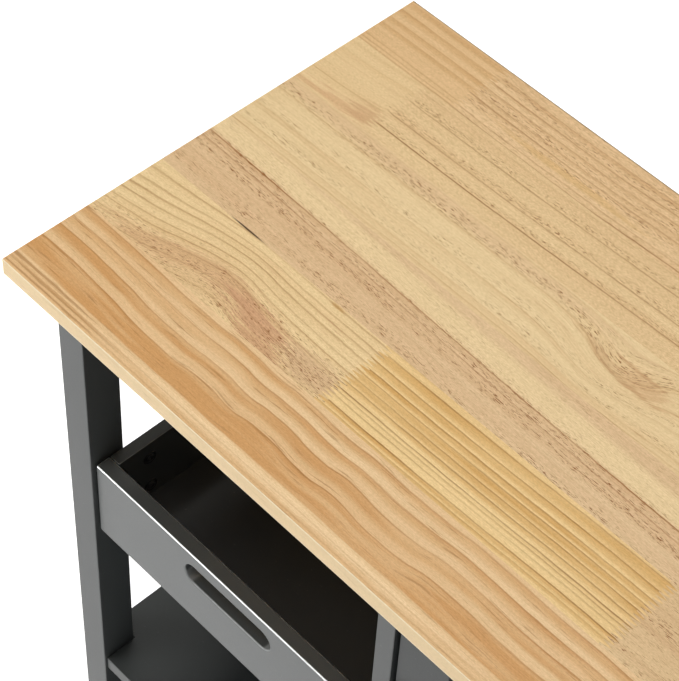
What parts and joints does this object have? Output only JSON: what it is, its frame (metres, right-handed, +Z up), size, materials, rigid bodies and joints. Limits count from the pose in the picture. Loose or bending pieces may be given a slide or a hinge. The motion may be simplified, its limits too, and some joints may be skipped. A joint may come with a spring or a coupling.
{
  "type": "kitchen island cart",
  "caption": "Rolling kitchen island with a solid pine worktop, an open bay with a pull-out slotted tray and shelves, and a cabinet with inset framed doors.",
  "frame": {"origin": "on the floor under the middle of the worktop", "axes": "+X along the front to the right, +Y from the door side to the back, +Z up"},
  "size_m": [1.2, 0.45, 0.88],
  "materials": {
    "pine_top": "clear satin lacquer on edge-glued, finger-jointed pine",
    "slate_paint": "satin slate-grey paint",
    "dark_board": "slate-grey faced board",
    "nickel": "satin nickel plate",
    "black_plastic": "matt black moulding",
    "caster_black": "black powder coat on pressed steel",
    "wheel_grey": "dark grey moulded tread"
  },
  "bodies": {
    "cart": {"back_panel": "dark_board", "bottom_shelf": "slate_paint", "cabinet_shelf": "dark_board", "caster_stem_back_left": "nickel", "caster_stem_back_right": "nickel", "caster_stem_front_left": "nickel", "caster_stem_front_right": "nickel", "centre_panel": "slate_paint", "door_stretcher": "dark_board", "end_panel": "slate_paint", "hinge_left_lower_fixed_leaf": "nickel", "hinge_left_upper_fixed_leaf": "nickel", "hinge_right_lower_fixed_leaf": "nickel", "hinge_right_upper_fixed_leaf": "nickel", "leg_back_left": "slate_paint", "leg_back_right": "slate_paint", "leg_front_left": "slate_paint", "leg_front_right": "slate_paint", "magnetic_catch": "black_plastic", "middle_shelf": "slate_paint", "shelf_pin_left_back": "nickel", "shelf_pin_left_front": "nickel", "shelf_pin_right_back": "nickel", "shelf_pin_right_front": "nickel", "top_rail_back": "slate_paint", "top_rail_front": "slate_paint", "top_rail_left": "slate_paint", "tray_runner_left": "black_plastic", "tray_runner_right": "black_plastic", "tray_side_rail": "slate_paint", "worktop": "pine_top"},
    "tray": {"tray_front": "slate_paint", "tray_left": "slate_paint", "tray_right": "slate_paint", "tray_back": "slate_paint", "tray_bottom": "dark_board"},
    "left_door": {"door_left_frame": "slate_paint", "door_left_panel": "slate_paint", "knob_left": "nickel", "hinge_left_upper_moving_leaf": "nickel", "hinge_left_lower_moving_leaf": "nickel"},
    "right_door": {"door_right_frame": "slate_paint", "door_right_panel": "slate_paint", "knob_right": "nickel", "hinge_right_upper_moving_leaf": "nickel", "hinge_right_lower_moving_leaf": "nickel"},
    "front_left_caster": {"caster_fork_front_left": "caster_black", "caster_axle_front_left": "nickel"},
    "front_left_wheel": {"caster_wheel_front_left": "wheel_grey"},
    "front_left_brake": {"brake_pedal_front_left": "caster_black"},
    "front_right_caster": {"caster_fork_front_right": "caster_black", "caster_axle_front_right": "nickel"},
    "front_right_wheel": {"caster_wheel_front_right": "wheel_grey"},
    "front_right_brake": {"brake_pedal_front_right": "caster_black"},
    "back_left_caster": {"caster_fork_back_left": "caster_black", "caster_axle_back_left": "nickel"},
    "back_left_wheel": {"caster_wheel_back_left": "wheel_grey"},
    "back_right_caster": {"caster_fork_back_right": "caster_black", "caster_axle_back_right": "nickel"},
    "back_right_wheel": {"caster_wheel_back_right": "wheel_grey"}
  },
  "joints": [
    {"name": "tray_slide", "type": "slide", "parent": "cart", "child": "tray", "axis": [0, -1, 0], "range_m": [0, 0.28]},
    {"name": "left_door_hinge", "type": "hinge", "parent": "cart", "child": "left_door", "pos_m": [-0.1845, -0.1998, 0.48], "axis": [0, 0, -1], "range_deg": [0, 90]},
    {"name": "right_door_hinge", "type": "hinge", "parent": "cart", "child": "right_door", "pos_m": [0.5405, -0.1998, 0.48], "axis": [0, 0, 1], "range_deg": [0, 90]},
    {"name": "front_left_swivel", "type": "hinge", "parent": "cart", "child": "front_left_caster", "pos_m": [-0.557, -0.179, 0.06], "axis": [0, 0, 1], "continuous": true},
    {"name": "front_left_wheel_spin", "type": "hinge", "parent": "front_left_caster", "child": "front_left_wheel", "pos_m": [-0.537, -0.179, 0.025], "axis": [0, 1, 0], "continuous": true},
    {"name": "front_left_brake_pedal", "type": "hinge", "parent": "front_left_caster", "child": "front_left_brake", "pos_m": [-0.523, -0.179, 0.05], "axis": [0, 1, 0], "range_deg": [0, 18]},
    {"name": "front_right_swivel", "type": "hinge", "parent": "cart", "child": "front_right_caster", "pos_m": [0.557, -0.179, 0.06], "axis": [0, 0, 1], "continuous": true},
    {"name": "front_right_wheel_spin", "type": "hinge", "parent": "front_right_caster", "child": "front_right_wheel", "pos_m": [0.537, -0.179, 0.025], "axis": [0, 1, 0], "continuous": true},
    {"name": "front_right_brake_pedal", "type": "hinge", "parent": "front_right_caster", "child": "front_right_brake", "pos_m": [0.523, -0.179, 0.05], "axis": [0, -1, 0], "range_deg": [0, 18]},
    {"name": "back_left_swivel", "type": "hinge", "parent": "cart", "child": "back_left_caster", "pos_m": [-0.557, 0.179, 0.06], "axis": [0, 0, 1], "continuous": true},
    {"name": "back_left_wheel_spin", "type": "hinge", "parent": "back_left_caster", "child": "back_left_wheel", "pos_m": [-0.537, 0.179, 0.025], "axis": [0, 1, 0], "continuous": true},
    {"name": "back_right_swivel", "type": "hinge", "parent": "cart", "child": "back_right_caster", "pos_m": [0.557, 0.179, 0.06], "axis": [0, 0, 1], "continuous": true},
    {"name": "back_right_wheel_spin", "type": "hinge", "parent": "back_right_caster", "child": "back_right_wheel", "pos_m": [0.537, 0.179, 0.025], "axis": [0, 1, 0], "continuous": true}
  ]
}
